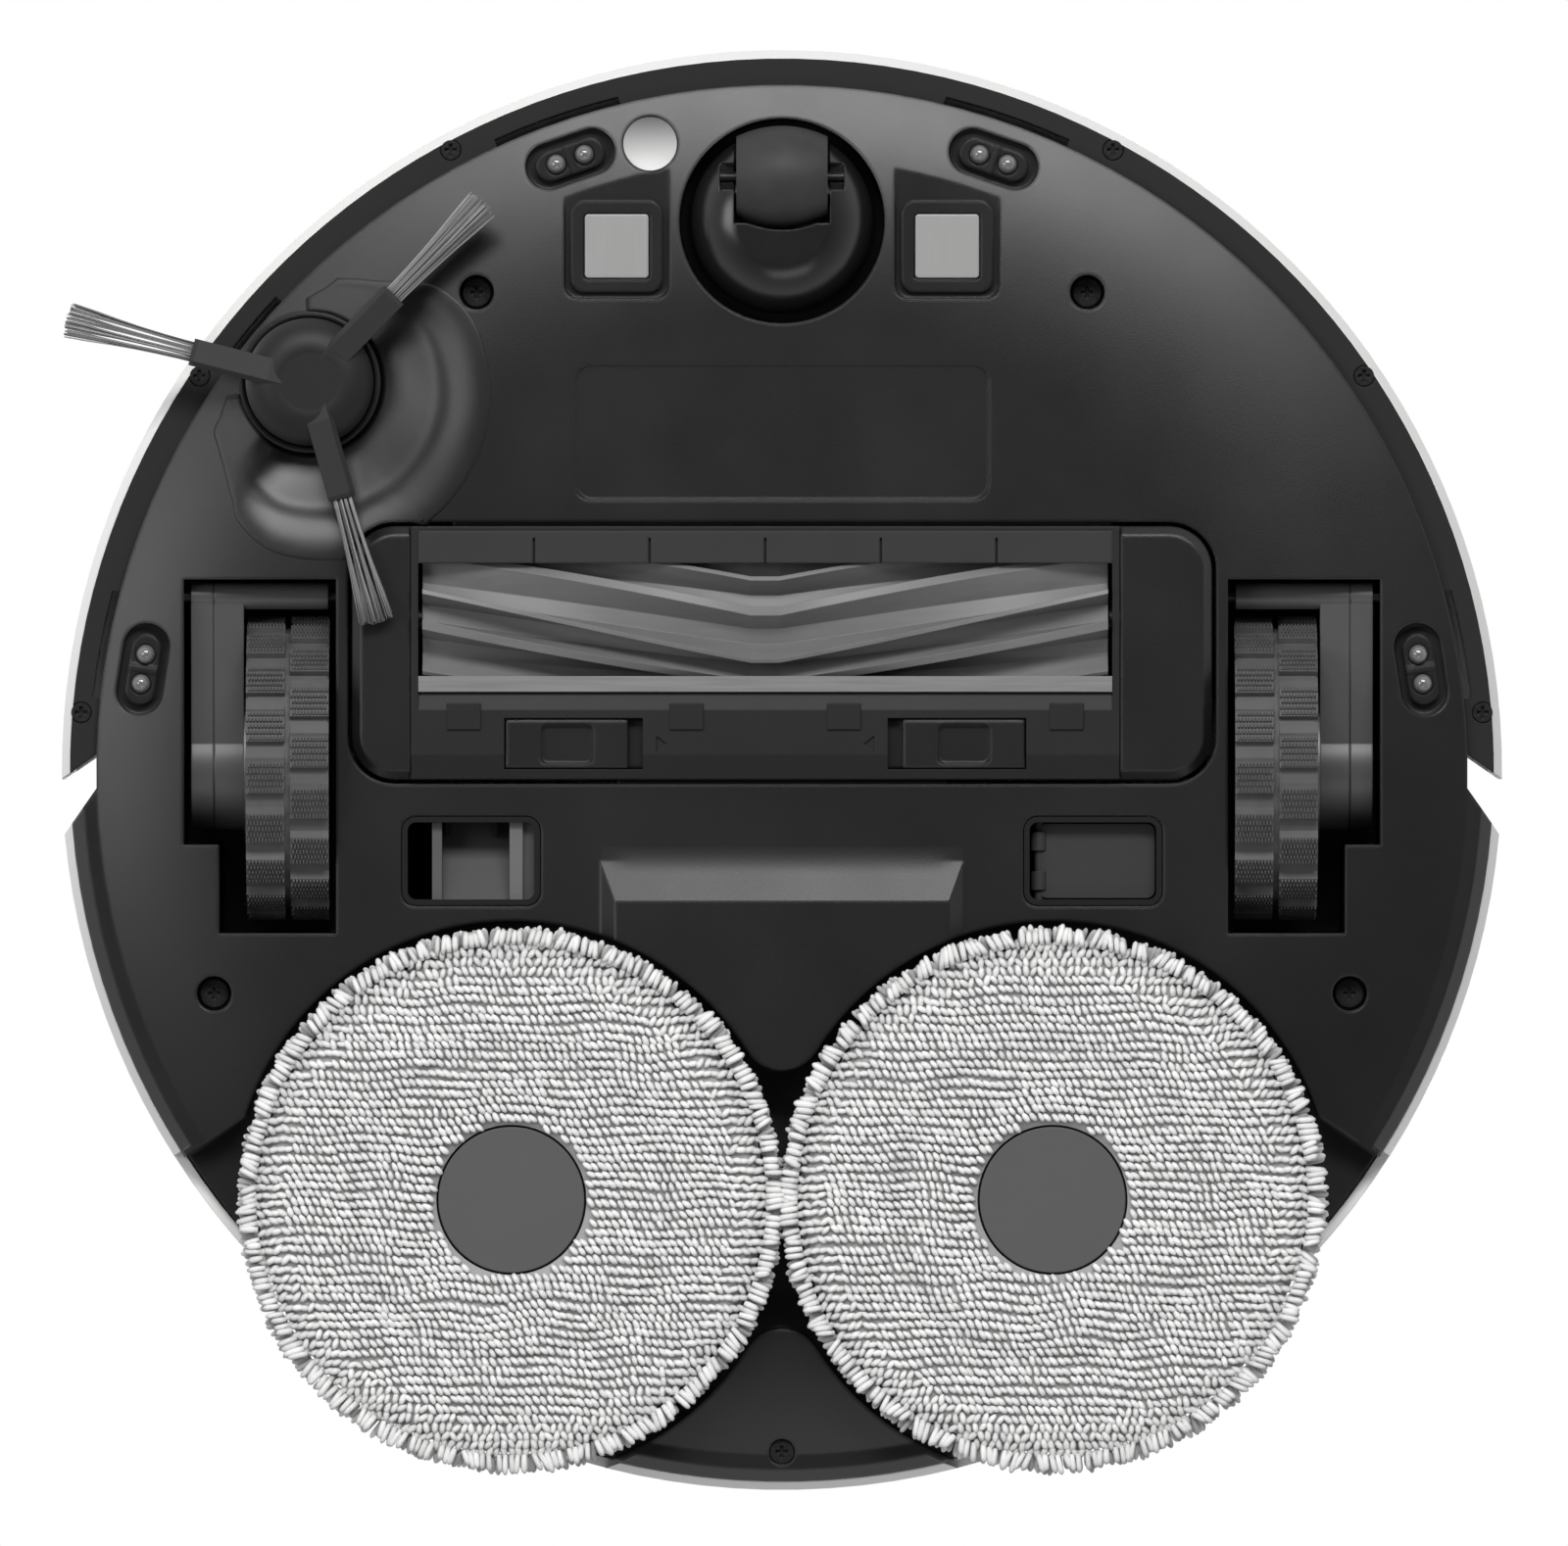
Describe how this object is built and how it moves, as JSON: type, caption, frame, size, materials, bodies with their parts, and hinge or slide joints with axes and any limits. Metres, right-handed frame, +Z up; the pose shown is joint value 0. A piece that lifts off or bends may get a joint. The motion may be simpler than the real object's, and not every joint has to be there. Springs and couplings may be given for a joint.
{
  "type": "robot vacuum with mops",
  "caption": "Round robot vacuum with spinning mop pads: low disc body, front bumper, drive wheels, caster, finned roller, side brush and scanner turret.",
  "frame": {"origin": "on the floor, under the middle of the round body", "axes": "+Z up, +Y to the front where the bumper and caster are, +X to the robot's own right"},
  "size_m": [0.3501, 0.35, 0.102],
  "materials": {
    "dark_plastic": "fine-textured moulded plastic",
    "lip_plastic": "smooth moulded plastic",
    "white_plastic": "satin white moulded plastic",
    "gloss_black": "polished black plastic",
    "grey_plastic": "smooth grey plastic",
    "caster_plastic": "smooth grey wheel",
    "tyre_rubber": "knurled tread rubber",
    "roller_rubber": "soft grey rubber",
    "strip_rubber": "soft strip",
    "scraper_plastic": "pale strip",
    "bristle_nylon": "grey nylon bristles",
    "mop_yarn": "looped yarn",
    "contact_metal": "plated contact",
    "steel": "bright steel",
    "black_screw": "blackened steel",
    "sensor_face": "brushed sensor face",
    "lens_plastic": "dark clear lens",
    "board_green": "solder mask",
    "battery_wrap": "shrink wrap",
    "motor_metal": "motor can",
    "bin_plastic": "smoked bin plastic"
  },
  "bodies": {
    "chassis": {"chassis": "dark_plastic", "upper_shell": "white_plastic", "lidar_cover": "white_plastic", "main_board": "board_green", "battery_pack": "battery_wrap", "suction_fan": "motor_metal", "chassis_screws": "black_screw", "caster_socket": "dark_plastic", "contact_frames": "dark_plastic", "charge_contacts": "contact_metal", "carpet_sensor": "sensor_face", "cliff_sensors": "dark_plastic", "cliff_lenses": "lens_plastic", "arm_pins": "steel", "side_brush_motor": "motor_metal", "brush_housing": "dark_plastic", "brush_motor": "motor_metal", "dust_outlet": "dark_plastic", "dust_inlet": "dark_plastic", "right_wheel_box": "dark_plastic", "left_wheel_box": "dark_plastic", "right_suspension_spring": "steel", "left_suspension_spring": "steel"},
    "bumper": {"bumper_skin": "white_plastic", "bumper_lip": "lip_plastic", "bumper_screws": "black_screw"},
    "cover": {"top_cover": "white_plastic"},
    "bin": {"dust_bin": "bin_plastic"},
    "power_key": {"power_button": "white_plastic"},
    "home_key": {"home_button": "white_plastic"},
    "scanner": {"lidar_head": "dark_plastic"},
    "caster": {"caster_fork": "gloss_black", "caster_axle": "steel"},
    "caster_roller": {"caster_wheel": "caster_plastic"},
    "side_brush": {"side_brush_hub": "dark_plastic", "side_brush_bristles": "bristle_nylon"},
    "main_brush": {"roller_core": "dark_plastic", "roller_fins": "roller_rubber"},
    "guard": {"brush_guard": "dark_plastic", "guard_flaps": "strip_rubber", "guard_scraper": "scraper_plastic"},
    "right_latch": {"right_guard_latch": "dark_plastic"},
    "left_latch": {"left_guard_latch": "dark_plastic"},
    "inlet_flap": {"dust_flap": "dark_plastic"},
    "carriage": {"mop_carriage": "dark_plastic", "mop_motor": "motor_metal"},
    "right_mop": {"right_mop_shaft": "steel", "right_mop_plate": "grey_plastic", "right_mop_pad": "mop_yarn"},
    "left_mop": {"left_mop_shaft": "steel", "left_mop_plate": "grey_plastic", "left_mop_pad": "mop_yarn"},
    "right_arm": {"right_wheel_arm": "dark_plastic", "right_wheel_motor": "motor_metal"},
    "left_arm": {"left_wheel_arm": "dark_plastic", "left_wheel_motor": "motor_metal"},
    "right_wheel": {"right_wheel_hub": "dark_plastic", "right_tyre": "tyre_rubber"},
    "left_wheel": {"left_wheel_hub": "dark_plastic", "left_tyre": "tyre_rubber"}
  },
  "joints": [
    {"name": "bumper_press", "type": "slide", "parent": "chassis", "child": "bumper", "axis": [0, -1, 0], "range_m": [0, 0.004], "stiffness_N_per_m": 500, "springref_m": -0.002},
    {"name": "top_cover_lift", "type": "slide", "parent": "chassis", "child": "cover", "axis": [0, 0, 1], "range_m": [0, 0.12]},
    {"name": "dust_bin_lift", "type": "slide", "parent": "chassis", "child": "bin", "axis": [0, 0, 1], "range_m": [0, 0.06]},
    {"name": "power_press", "type": "slide", "parent": "chassis", "child": "power_key", "axis": [0, 0, -1], "range_m": [0, 0.0008], "stiffness_N_per_m": 600, "springref_m": -0.0008},
    {"name": "home_press", "type": "slide", "parent": "chassis", "child": "home_key", "axis": [0, 0, -1], "range_m": [0, 0.0008], "stiffness_N_per_m": 600, "springref_m": -0.0008},
    {"name": "scanner_spin", "type": "hinge", "parent": "chassis", "child": "scanner", "pos_m": [0, 0.042, 0.09], "axis": [0, 0, 1], "continuous": true},
    {"name": "caster_swivel", "type": "hinge", "parent": "chassis", "child": "caster", "pos_m": [0, 0.1333, 0.03], "axis": [0, 0, 1], "continuous": true},
    {"name": "caster_wheel_spin", "type": "hinge", "parent": "caster", "child": "caster_roller", "pos_m": [0, 0.144, 0.0124], "axis": [1, 0, 0], "continuous": true},
    {"name": "side_brush_spin", "type": "hinge", "parent": "chassis", "child": "side_brush", "pos_m": [0.1146, 0.0942, 0.01], "axis": [0, 0, 1], "continuous": true},
    {"name": "main_brush_spin", "type": "hinge", "parent": "chassis", "child": "main_brush", "pos_m": [0, 0.0365, 0.023], "axis": [1, 0, 0], "continuous": true},
    {"name": "guard_lift_off", "type": "slide", "parent": "chassis", "child": "guard", "axis": [0, 0, -1], "range_m": [0, 0.03]},
    {"name": "right_latch_slide", "type": "slide", "parent": "guard", "child": "right_latch", "axis": [-1, 0, 0], "range_m": [0, 0.0033], "stiffness_N_per_m": 150, "springref_m": -0.002},
    {"name": "left_latch_slide", "type": "slide", "parent": "guard", "child": "left_latch", "axis": [1, 0, 0], "range_m": [0, 0.0033], "stiffness_N_per_m": 150, "springref_m": -0.002},
    {"name": "inlet_flap_swing", "type": "hinge", "parent": "chassis", "child": "inlet_flap", "pos_m": [-0.0624, -0.022, 0.016], "axis": [0, 1, 0], "range_deg": [0, 60], "stiffness_Nm_per_rad": 0.005, "springref_deg": -17.19},
    {"name": "mop_lift", "type": "slide", "parent": "chassis", "child": "carriage", "axis": [0, 0, 1], "range_m": [0, 0.01]},
    {"name": "right_mop_spin", "type": "hinge", "parent": "carriage", "child": "right_mop", "pos_m": [0.0656, -0.1042, 0.02], "axis": [0, 0, 1], "continuous": true},
    {"name": "left_mop_spin", "type": "hinge", "parent": "carriage", "child": "left_mop", "pos_m": [-0.0656, -0.1042, 0.02], "axis": [0, 0, 1], "continuous": true},
    {"name": "right_suspension", "type": "hinge", "parent": "chassis", "child": "right_arm", "pos_m": [0.1371, 0.04225, 0.022], "axis": [1, 0, 0], "range_deg": [0, 20], "stiffness_Nm_per_rad": 0.3, "springref_deg": 28.65, "deforming": ["right_suspension_spring"]},
    {"name": "right_wheel_spin", "type": "hinge", "parent": "right_arm", "child": "right_wheel", "pos_m": [0.12, 0.0006, 0.037], "axis": [1, 0, 0], "continuous": true},
    {"name": "left_suspension", "type": "hinge", "parent": "chassis", "child": "left_arm", "pos_m": [-0.1371, 0.04225, 0.022], "axis": [1, 0, 0], "range_deg": [0, 20], "stiffness_Nm_per_rad": 0.3, "springref_deg": 28.65, "deforming": ["left_suspension_spring"]},
    {"name": "left_wheel_spin", "type": "hinge", "parent": "left_arm", "child": "left_wheel", "pos_m": [-0.12, 0.0006, 0.037], "axis": [1, 0, 0], "continuous": true}
  ],
  "couplings": [
    {"joint": "left_mop_spin", "follows": "right_mop_spin", "ratio": -1},
    {"joint": "dust_bin_lift", "follows": "top_cover_lift", "ratio": 0.5}
  ]
}
